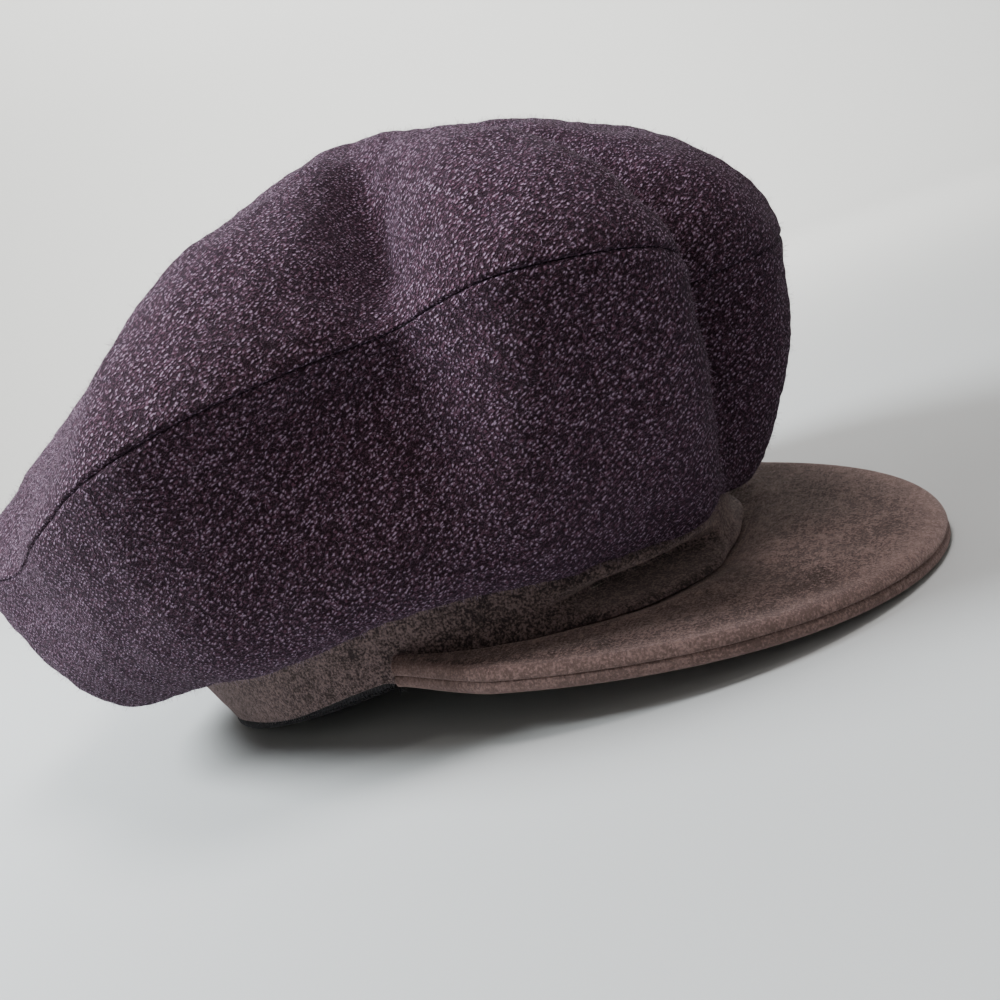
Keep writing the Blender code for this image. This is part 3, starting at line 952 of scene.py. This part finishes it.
class CAP_OT_crown(bpy.types.Operator):
    """Makes the crown's two wool panels, with their folds, lumps and the seam between them"""

    bl_idname = "cap.crown"
    bl_label = "Wool crown"

    def execute(self, context):
        wool = wool_material()
        self.side(wool)
        self.tip(wool)
        return {"FINISHED"}

    def side(self, wool):
        angle, level = turned(panel_levels(0, 0.9992, 96, "high"))
        outer = crown(angle, level, wool_depth(angle, level, -1))
        back_angle, back_level = turned(np.linspace(0.9992, 0, 16))
        inner = crown(back_angle, back_level, WOOL)
        points = np.concatenate([outer, inner], 1)
        cloth = np.concatenate([crown_place(angle, level), crown_place(back_angle, back_level)], 1)
        piece = ring_shell("crown_side_wool", points, wool, cloth)
        settled(piece, "plum_wool", "crown_side")

    def tip(self, wool):
        angle, level = turned(panel_levels(1.0006, 2, 128, "low"))
        outer = crown(angle, level, wool_depth(angle, level, 1))
        inner_angle, inner_level = turned(np.linspace(1.0006, 2, 18))
        inner = crown(inner_angle, inner_level, WOOL)
        outer[:, -1] = outer[:, -1].mean(0)
        piece = cap_shell(
            "crown_tip_wool", outer, inner, wool,
            crown_place(angle, level), crown_place(inner_angle, inner_level),
        )
        settled(piece, "plum_wool", "crown_tip")


class CAP_OT_fibres(bpy.types.Operator):
    """Scatters loose wool fibres over the crown"""

    bl_idname = "cap.fibres"
    bl_label = "Loose fibres"

    def execute(self, context):
        surface = fibre_material()
        length = sizes().fibre_length
        share = np.linspace(0, 1, 3)
        bend = np.stack([0.35 * length * share**2, 0 * share, share * length - 0.2 * length], 1)
        fibre = facing_out(bare_object("fibre_shape", *tube(bend, 0.045 * MM, 3, taper=0.6)))
        for name, low, high, side, seed in (
            ("crown_side_fibres", 0.04, 0.985, -1, 3),
            ("crown_tip_fibres", 1.012, 1.97, 1, 4),
        ):
            around = np.linspace(0, 2 * np.pi, 200, endpoint=False)
            angle, level = np.meshgrid(around, np.linspace(low, high, 60), indexing="ij")
            points = crown(angle, level, wool_depth(angle, level, side) + 0.1 * MM)
            quads = grid_quads(200, 60)
            base = bare_object("fibre_base", points.reshape(-1, 3), quads[:, ::-1])
            values = {
                "Fibre": fibre, "Density": sizes().fibre_density, "Lean": 0.95, "Seed": seed,
                "Material": surface,
            }
            settled(made_by_nodes(name, base, fibre_tree(), values), "plum_wool")
        bpy.data.objects.remove(fibre)
        return {"FINISHED"}


class CAP_OT_lining(bpy.types.Operator):
    """Makes the lining of the crown, with soft wrinkles"""

    bl_idname = "cap.lining"
    bl_label = "Lining"

    def execute(self, context):
        satin = woven_material("dark_satin_lining", colours().lining, 0.32 * MM, 0.5, 0.42, 0.05 * MM)
        angle, level = turned(np.linspace(0.02, 0.992, 44))
        self.panel_ring(satin, angle, level)
        angle, level = turned(np.linspace(1.008, 2, 54))
        outer = crown(angle, level, LINING[0])
        inner = crown(angle, level, LINING[1] + self.wrinkle(angle, level))
        for grid in (outer, inner):
            grid[:, -1] = grid[:, -1].mean(0)
        place = crown_place(angle, level)
        piece = cap_shell("lining_tip_cloth", outer, inner, satin, place, place)
        settled(piece, "dark_lining", "lining_tip")
        return {"FINISHED"}

    def wrinkle(self, angle, level):
        base = smooth_crown(angle, level)
        return np.clip(0.7 * MM * ripple(base, 22 * MM, 21) + 0.35 * MM, 0, None)

    def panel_ring(self, satin, angle, level):
        outer = crown(angle, level, LINING[0])
        inner = crown(angle, level, LINING[1] + self.wrinkle(angle, level))
        points = np.concatenate([outer, inner[:, ::-1]], 1)
        place = crown_place(angle, level)
        cloth = np.concatenate([place, place[:, ::-1]], 1)
        piece = settled(ring_shell("lining_side_cloth", points, satin, cloth), "dark_lining", "lining_side")


# ---------------------------------------------------------------- band


def band_roll(angle, height):
    """How far the soft band buckles: a roll that lies on the visor, a deep crease and a roll above it."""
    degrees = np.degrees((angle + np.pi) % (2 * np.pi) - np.pi)
    near = window(degrees, 4, 20, 36, 56)
    far = 0.6 * window(-degrees, 8, 24, 36, 56)
    size = near + far
    over_visor = window(np.abs(degrees), -1, 0, 64, 78)
    tall = height / MM
    lower = (1.6 + 5.4 * size) * MM * window(tall, 3.4, 5.6, 7.2, 10.0)
    crease = -13.0 * MM * size * hump(tall, 12.4, 0.9 + 2.6 * size)
    upper = 4.6 * MM * size * window(tall, 15.0, 17.5, 19.5, 24.4)
    wave = 0.45 * MM * ripple(on_band(angle, height), 38 * MM, 31) * window(tall, 1, 8, 20, 24)
    return over_visor * (lower + crease + upper) + wave * (1 - 0.6 * over_visor)


def band_face(angle, height, depth=0.0, rise=0.0):
    """The band as sewn and as it sits on a head. Rise lifts its lower edge where that is turned up beside the
    visor.
    """
    degrees = np.degrees((angle + np.pi) % (2 * np.pi) - np.pi)
    turned_up = window(np.abs(degrees), 80, 85, 140, 156) * (1 + 0.3 * np.sin(np.radians(degrees) * 9))
    low = np.clip(1 - height / (11 * MM), 0, 1)
    dip = rise * turned_up * low
    points = on_band(angle, height, depth)
    points = points + outward(angle) * band_roll(angle, height)[..., None]
    points[..., 2] += dip
    return points


def band_loop(name, low, high, near, deep, surface, rows=34, round_by=0.35 * MM, rise=0.0):
    """A closed band between two depths, with rounded edges and its own flat map."""
    r = min(round_by, (deep - near) / 2.2)
    turn = np.radians([0, 30, 60, 90])
    heights = np.linspace(low + r, high - r, rows)
    section = [(h, near) for h in heights]
    section += [(high - r + r * math.sin(t), near + r - r * math.cos(t)) for t in turn[1:]]
    section += [(high - r + r * math.cos(t), deep - r + r * math.sin(t)) for t in turn]
    section += [(h, deep) for h in heights[::-1][1:-1:3]]
    section += [(low + r - r * math.sin(t), deep - r + r * math.cos(t)) for t in turn]
    section += [(low + r - r * math.cos(t), near + r - r * math.sin(t)) for t in turn[:-1]]
    height = np.array([h for h, _ in section])
    depth = np.array([d for _, d in section])
    angle, tall = turned(height)
    points = band_face(angle, tall, depth[None, :] + 0 * angle, rise)
    cloth = np.stack([angle * 0.093, tall], -1)
    return ring_shell(name, points, surface, cloth)


class CAP_OT_headband(bpy.types.Operator):
    """Makes the suede headband, its stiffener and the woven sweatband inside it"""

    bl_idname = "cap.headband"
    bl_label = "Headband"

    def execute(self, context):
        suede = suede_material("band_suede", tuple(colours().band), 0.12, 0.15)
        canvas = woven_material("stiff_canvas", (0.34, 0.31, 0.26), 0.9 * MM, 0.0, 0.85, 0.2 * MM)
        twill = woven_material("sweatband_twill", tuple(colours().sweatband), 0.55 * MM, 1.0, 0.75, 0.16 * MM)
        settled(
            band_loop("headband_suede", 0, BAND_HEIGHT, 0, SUEDE, suede, 60, rise=2.3 * MM),
            "taupe_suede", "headband",
        )
        settled(
            band_loop("stiffener_band", 3.5 * MM, 22 * MM, *STIFFENER, canvas, 16),
            "stiffener_canvas", "band_stiffener",
        )
        settled(
            band_loop("sweatband_band", 0.3 * MM, 29 * MM, *SWEATBAND, twill, 30),
            "sweatband_cloth", "sweatband",
        )
        return {"FINISHED"}


class CAP_OT_band_sewing(bpy.types.Operator):
    """Sews the band: the overlocked lower edge, the rows of stitches and a few loose ends"""

    bl_idname = "cap.band_sewing"
    bl_label = "Band sewing"

    def execute(self, context):
        thread = thread_material()
        self.overlock(thread)
        rows = (
            ("sweatband_stitches", 2.6 * MM, SWEATBAND[1] + 0.25 * MM, "sweatband_thread"),
            ("crown_band_stitches", 24.8 * MM, 2.2 * MM, "crown_band_thread"),
        )
        angle = ring_angles()
        for name, height, depth, node in rows:
            points = band_face(angle, 0 * angle + height, depth)
            path = path_object("path", points, -outward(angle), True)
            settled(lock_stitched(name, path, 0.82, 0.3 * MM, 2, thread), "black_thread", node)
        half = np.linspace(-VISOR_CORNER_ANGLE, VISOR_CORNER_ANGLE, 200)
        path = path_object("path", band_face(half, 0 * half + 2.6 * MM, 2.1 * MM), outward(half), False)
        piece = lock_stitched("visor_attach_stitches", path, 0.8, 0.25 * MM, 5, thread)
        settled(piece, "black_thread", "visor_attach_thread")
        return {"FINISHED"}

    def overlock(self, thread):
        angle = ring_angles()
        path = path_object("path", band_face(angle, 0 * angle + 1.9 * MM, 1.9 * MM), outward(angle), True)
        turn = np.linspace(0, 2 * np.pi, 12, endpoint=False)
        loop = np.stack(
            [0.35 * MM * np.sin(turn * 2), 2.05 * MM * np.sin(turn), 1.55 * MM * np.cos(turn)], 1
        )
        stitch = facing_out(bare_object("loop_shape", *tube(loop, 0.2 * MM, 4, closed=True)))
        piece = sewn("edge_overlock_loops", path, stitch, sizes().overlock, 0.12, 8, thread)
        settled(piece, "black_thread", "edge_overlock_thread")
        self.loose_ends(thread)

    def loose_ends(self, thread):
        """A small tuft of cut thread where the overlocking ends beside the visor."""
        chance = np.random.default_rng(12)
        points, faces = [], []
        root = band_face(np.array([math.radians(82.5)]), np.array([0.2 * MM]), np.array([1.2 * MM]))[0]
        for _ in range(9):
            way = np.array([-0.35, -0.5, -0.75]) + chance.normal(size=3) * 0.45
            way /= np.linalg.norm(way)
            share = np.linspace(0, 1, 5)[:, None]
            curl = np.cross(way, [0, 0, 1.0])
            length = chance.uniform(1.6, 3.6) * MM
            line = root + way * share * length + curl * share**2 * length * chance.uniform(-0.5, 0.5)
            more, quads = tube(line, 0.11 * MM, 4)
            faces += [tuple(i + len(points) for i in quad) for quad in quads]
            points += more.tolist()
        piece = facing_out(bare_object("overlock_tuft", points, faces))
        piece.data.materials.append(thread)
        settled(piece, "black_thread")


class CAP_OT_size_tab(bpy.types.Operator):
    """Makes the blank folded ribbon tab inside the back of the sweatband"""

    bl_idname = "cap.size_tab"
    bl_label = "Blank tab"

    def execute(self, context):
        ribbon = woven_material("blank_woven_ribbon", (0.045, 0.042, 0.050), 0.3 * MM, 0.0, 0.5, 0.06 * MM)
        angle, height = np.meshgrid(
            np.radians(np.linspace(176, 184, 22)), np.linspace(8 * MM, 24 * MM, 26), indexing="ij"
        )
        near = SWEATBAND[1] + 0.35 * MM
        curl = 1.4 * MM * np.clip(1 - (height - 8 * MM) / (9 * MM), 0, 1) ** 2
        faces = [band_face(angle, height, near + curl + depth) for depth in (0, 0.5 * MM)]
        cloth = np.stack([angle * 0.1, height], -1)
        settled(strip_shell("blank_size_tab", *faces, ribbon, cloth), "blank_ribbon", "size_tab")
        return {"FINISHED"}


# ---------------------------------------------------------------- visor


def visor_shares(columns):
    even = np.linspace(0, 1, columns)
    return even - 0.85 * np.sin(2 * np.pi * even) / (2 * np.pi)


def visor_inner(share):
    angle = VISOR_CORNER_ANGLE * (1 - 2 * share)
    points = on_band(angle, 0 * angle + VISOR_TOP, -VISOR_GAP)
    points[..., 2] = 0
    return points


def visor_outer(share):
    """The visor's outline, level, blended into the band at its corners."""
    turn = np.pi * share
    reach = np.abs(np.sin(turn)) ** VISOR_ROUNDNESS
    curve = np.stack(
        [-VISOR_HALF_WIDTH * np.cos(turn), CORNER_Y + (VISOR_TIP_Y - CORNER_Y) * reach, 0 * turn], -1
    )
    angle = VISOR_CORNER_ANGLE * (1 - 2 * share)
    corner = visor_inner(share) + outward(angle) * VISOR_CORNER_WIDTH
    blend = np.clip(np.minimum(share, 1 - share) / CORNER_BLEND, 0, 1)[..., None]
    blend = blend * blend * (3 - 2 * blend)
    return corner * (1 - blend) + curve * blend


def visor_sheet(profile, columns=190):
    """Points over the visor. The profile lists (share of the width, shift outward, height)."""
    share = visor_shares(columns)
    inner, outer = visor_inner(share), visor_outer(share)
    across = outer - inner
    unit = across / np.linalg.norm(across, axis=-1, keepdims=True)
    rows = []
    for part, shift, height in profile:
        row = inner + across * part + unit * shift
        top = math.tan(BACK_RISE) * (BAND_HALF_LENGTH - CORNER_Y)
        row[:, 2] = top - math.tan(FRONT_FALL) * (CORNER_Y - row[:, 1]) + height
        rows.append(row)
    return np.stack(rows, 1)


def visor_dip(part):
    """How far the top cover sinks beside the band, where no padding fills it."""
    return 3.2 * MM * (1 - window(part, 0, 0.34, 2, 3))


def visor_top_profile(skin):
    """Puffed above, round at the edge, then tucked in at the seam."""
    radius = VISOR_TOP - VISOR_SEAM - 0.35 * MM
    flat = []
    for part in np.linspace(0, 1, 26)[:-1]:
        puff = sizes().puff * (math.sin(math.pi * part) + 0.4 * math.sin(2 * math.pi * part) ** 2)
        flat.append((part, -radius * part, VISOR_TOP - skin + puff - visor_dip(part)))
    edge = []
    for turn in np.radians(np.linspace(0, 90, 10)):
        shift = -radius + (radius - skin) * math.sin(turn)
        edge.append((1, shift, VISOR_TOP - radius + (radius - skin) * math.cos(turn)))
    tuck = 0.55 * MM
    for turn in np.radians((40, 80, 110)):
        drop = min(tuck - 0.25 * skin, tuck)
        edge.append((1, -skin - tuck + drop * math.cos(turn), VISOR_TOP - radius - drop * math.sin(turn)))
    return flat + edge


def visor_under_profile(skin):
    """Flat below, then rolled up round the edge to the seam."""
    radius = (VISOR_SEAM - VISOR_BOTTOM) / 2 - 0.12 * MM
    flat = [(part, -radius * part, VISOR_BOTTOM + skin) for part in np.linspace(0, 1, 22)[:-1]]
    edge = []
    for turn in np.radians(np.linspace(-90, 118, 16)):
        shift = -radius + (radius - skin) * math.cos(turn)
        edge.append((1, shift, VISOR_BOTTOM + radius + (radius - skin) * math.sin(turn)))
    return flat + edge


def mark_rim_wear_and_sheen(piece, profile, columns):
    """Marks the rim of the visor, where the nap is painted paler, partly as rubbed wear and partly as painted
    sheen on the rounded edge.
    """
    share = [part for part, _, _ in profile] * columns
    values = np.clip((np.array(share * 2) - 0.86) / 0.14, 0, 1)
    layer = piece.data.attributes.new("edge", "FLOAT", "POINT")
    layer.data.foreach_set("value", values.astype(np.float32))


class CAP_OT_visor(bpy.types.Operator):
    """Makes the padded suede visor: its top cover, rolled under cover and the pad between them"""

    bl_idname = "cap.visor"
    bl_label = "Visor"

    def execute(self, context):
        suede = suede_material("visor_suede", tuple(colours().visor), 0.2, 0.22, rim_wear_and_sheen=True)
        columns = 190
        for name, profile, node, seed in (
            ("visor_top_suede", visor_top_profile, "visor_cover_top", 41),
            ("visor_under_suede", visor_under_profile, "visor_cover_under", 42),
        ):
            faces = [visor_sheet(profile(skin), columns) for skin in (0, COVER)]
            shares = np.array([part for part, _, _ in profile(0)])
            sway = 0.28 * MM * ripple(faces[0], 34 * MM, seed) + 0.1 * MM * ripple(faces[0], 9 * MM, seed + 9)
            sway = sway * window(shares, 0.0, 0.15, 0.8, 1.0)[None, :]
            for face in faces:
                face[..., 2] += sway
            piece = strip_shell(name, *faces, suede)
            mark_rim_wear_and_sheen(piece, profile(0), columns)
            settled(piece, "taupe_suede", node)
        self.padding()
        self.stitches()
        return {"FINISHED"}

    def padding(self):
        foam = flecked_material("visor_foam_pad", (0.62, 0.59, 0.52), (0.46, 0.43, 0.37), 1500.0, 0.9)
        radius = VISOR_TOP - VISOR_SEAM
        parts = np.linspace(0.13, 0.93, 24)
        top = [(p, -radius * p, VISOR_TOP - COVER - 0.3 * MM - visor_dip(p)) for p in parts]
        low = [(p, -radius * p, PADDING_BOTTOM + 0.05 * MM) for p in parts]
        faces = [visor_sheet(profile, 150)[6:-6] for profile in (top, low)]
        pad = settled(strip_shell("visor_foam_pad", *faces, foam), "visor_foam", "visor_padding")

    def stitches(self):
        thread = thread_material("visor_edge_thread_black")
        row = visor_sheet([(1, -1.5 * MM, VISOR_SEAM - 0.05 * MM)], 400)[8:-8, 0]
        share = visor_shares(400)[8:-8]
        across = visor_outer(share) - visor_inner(share)
        path = path_object("path", row, across / np.linalg.norm(across, axis=1, keepdims=True), False)
        piece = lock_stitched("visor_edge_stitches", path, 0.75, 0.18 * MM, 6, thread)
        settled(piece, "black_thread", "visor_edge_thread")


class CAP_OT_inner_parts(bpy.types.Operator):
    """Finishes the solid parts that stay closed inside: the visor's board and three seam threads"""

    bl_idname = "cap.inner_parts"
    bl_label = "Inner parts"

    def execute(self, context):
        board = flecked_material("pressed_visor_board", (0.40, 0.34, 0.26), (0.55, 0.48, 0.38), 700.0, 0.8)
        thread = thread_material("seam_thread_black")
        finishes = {
            "visor_board": board, "rim_seam_thread": thread,
            "back_seam_thread": thread, "lining_seam_thread": thread,
        }
        for node, surface in finishes.items():
            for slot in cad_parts[node].material_slots:
                slot.material = surface
        return {"FINISHED"}


# ---------------------------------------------------------------- stage


CAMERA_AT = Vector((-0.3640, -0.2118, 0.1259))
CAMERA_WAY = Vector((0.8738, 0.4491, -0.1865)).normalized()
CAMERA_UP = Vector((0.3128, -0.2255, 0.9226))

# Each light: name, place, target, width, power and tint.
LIGHTS = (
    ("window_light", (-0.32, 0.57, 0.70), (0, 0, 0.09), 0.4, 26, (0.90, 0.96, 1.0)),
    ("sky_light", (-0.10, -0.12, 1.0), (0, -0.02, 0.09), 0.35, 8, (1.0, 0.97, 0.97)),
    ("room_light", (-1.3, -1.2, 1.4), (0, 0, 0.08), 1.4, 2.0, (1.0, 0.80, 0.72)),
    ("wall_light", (0.9, 0.35, 1.7), (2.6, 1.2, 0.6), 0.9, 165, (1.0, 0.99, 0.96)),
    ("far_wall_light", (-1.0, -0.4, 1.9), (-2.6, -1.0, 0.8), 0.9, 36, (1.0, 0.99, 0.96)),
)


def aim(obj, at, way, up):
    """Places a camera or light at a point, looking along way with a given up."""
    side = way.cross(up).normalized()
    true_up = side.cross(way)
    turn = Matrix((side, true_up, -way)).transposed().to_4x4()
    obj.matrix_world = Matrix.Translation(at) @ turn


def area_light(name, at, target, size, power, tint):
    data = bpy.data.lights.new(name, "AREA")
    data.shape = "DISK"
    data.size = size
    data.energy = power
    data.color = tint
    obj = bpy.data.objects.new(name, data)
    bpy.context.scene.collection.objects.link(obj)
    aim(obj, Vector(at), (Vector(target) - Vector(at)).normalized(), Vector((0, 0.1, 1)))
    return obj


class CAP_OT_stage(bpy.types.Operator):
    """Sets the pale floor and backdrop, the soft daylight and the camera"""

    bl_idname = "cap.stage"
    bl_label = "Studio"

    def execute(self, context):
        self.backdrop()
        for light in LIGHTS:
            area_light(*light)
        world = context.scene.world or bpy.data.worlds.new("room")
        context.scene.world = world
        world.use_nodes = True
        air = world.node_tree.nodes["Background"]
        air.inputs["Color"].default_value = (0.86, 0.90, 1.0, 1)
        air.inputs["Strength"].default_value = 0.08
        data = bpy.data.cameras.new("camera")
        data.lens = 42
        data.sensor_width = 36
        data.clip_start = 0.01
        camera = bpy.data.objects.new("camera", data)
        context.scene.collection.objects.link(camera)
        aim(camera, CAMERA_AT, CAMERA_WAY, CAMERA_UP)
        context.scene.camera = camera
        return {"FINISHED"}

    def backdrop(self):
        """A floor that sweeps up into a wall all round."""
        made, _, shader = new_material("pale_paper")
        shader.inputs["Base Color"].default_value = (0.42, 0.425, 0.42, 1)
        shader.inputs["Roughness"].default_value = 0.9
        steps = 96
        profile = [(0.0, 0.0), (1.0, 0.0), (1.9, 0.0)]
        bend = 0.8
        profile += [
            (1.9 + bend * math.sin(t), bend - bend * math.cos(t)) for t in np.radians(np.linspace(8, 90, 12))
        ]
        profile += [(1.9 + bend, 3.2)]
        angle = np.linspace(0, 2 * np.pi, steps, endpoint=False)
        points = [
            (r * math.cos(a), r * math.sin(a), z - 0.0002) for a in angle for r, z in profile[1:]
        ]
        rows = len(profile) - 1
        quads = grid_quads(steps, rows)
        middle = len(points)
        points.append((0, 0, -0.0002))
        fans = [(middle, (i + 1) % steps * rows, i * rows) for i in range(steps)]
        floor = bare_object("studio_sweep", points, [*quads.tolist(), *fans])
        floor.data.shade_smooth()
        floor.data.materials.append(made)


# ---------------------------------------------------------------- panel and registration


OPERATORS = (
    CAP_OT_crown,
    CAP_OT_fibres,
    CAP_OT_lining,
    CAP_OT_headband,
    CAP_OT_band_sewing,
    CAP_OT_size_tab,
    CAP_OT_visor,
    CAP_OT_inner_parts,
    CAP_OT_stage,
)


class CAP_PT_panel(bpy.types.Panel):
    """Lists the cap's pieces in the sidebar"""

    bl_idname = "CAP_PT_panel"
    bl_label = "Cap"
    bl_space_type = "VIEW_3D"
    bl_region_type = "UI"
    bl_category = "Cap"

    def draw(self, context):
        for operator in OPERATORS:
            self.layout.operator(operator.bl_idname)
        for settings in (context.scene.cap_sizes, context.scene.cap_colours):
            column = self.layout.column()
            for name in settings.__annotations__:
                column.prop(settings, name)


CLASSES = (CapSizes, CapColours, *OPERATORS, CAP_PT_panel)


def register():
    for made in CLASSES:
        bpy.utils.register_class(made)
    bpy.types.Scene.cap_sizes = PointerProperty(type=CapSizes)
    bpy.types.Scene.cap_colours = PointerProperty(type=CapColours)


def unregister():
    del bpy.types.Scene.cap_colours
    del bpy.types.Scene.cap_sizes
    for made in reversed(CLASSES):
        bpy.utils.unregister_class(made)


def main():
    register()
    bpy.ops.cap.crown()
    bpy.ops.cap.fibres()
    bpy.ops.cap.lining()
    bpy.ops.cap.headband()
    bpy.ops.cap.band_sewing()
    bpy.ops.cap.size_tab()
    bpy.ops.cap.visor()
    bpy.ops.cap.inner_parts()
    bpy.ops.cap.stage()


if __name__ == "__main__":
    main()
